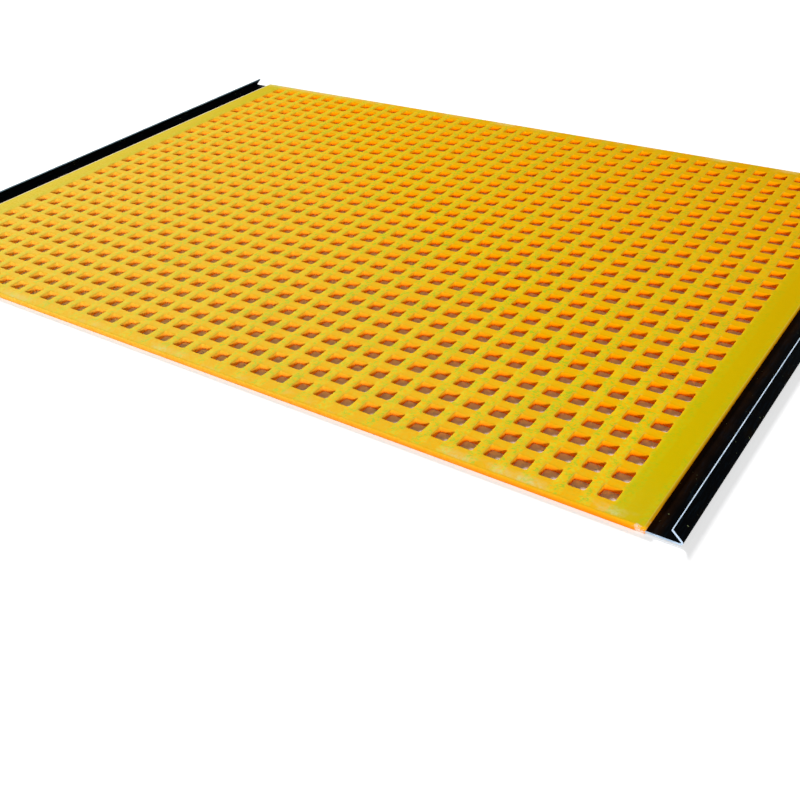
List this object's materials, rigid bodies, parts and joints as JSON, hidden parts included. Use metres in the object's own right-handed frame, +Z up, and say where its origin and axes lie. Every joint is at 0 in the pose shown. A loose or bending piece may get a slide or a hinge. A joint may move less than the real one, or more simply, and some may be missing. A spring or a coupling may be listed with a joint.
{
  "type": "polyurethane tension screen",
  "caption": "Flat cast polyurethane screening sheet with a grid of square apertures and a folded steel hook along each of two opposite edges.",
  "frame": {"origin": "on the floor, under the middle of the sheet, at the bottom centre of the whole part", "axes": "+X from hook to hook, +Y along the hooks, +Z up through the sheet, out of its working face"},
  "size_m": [1.816, 1.255, 0.0233],
  "materials": {
    "polyurethane": "satin",
    "hook_steel": "satin"
  },
  "bodies": {
    "root": {"screen_mat": "polyurethane", "right_hook_strip": "hook_steel", "left_hook_strip": "hook_steel"}
  },
  "joints": []
}
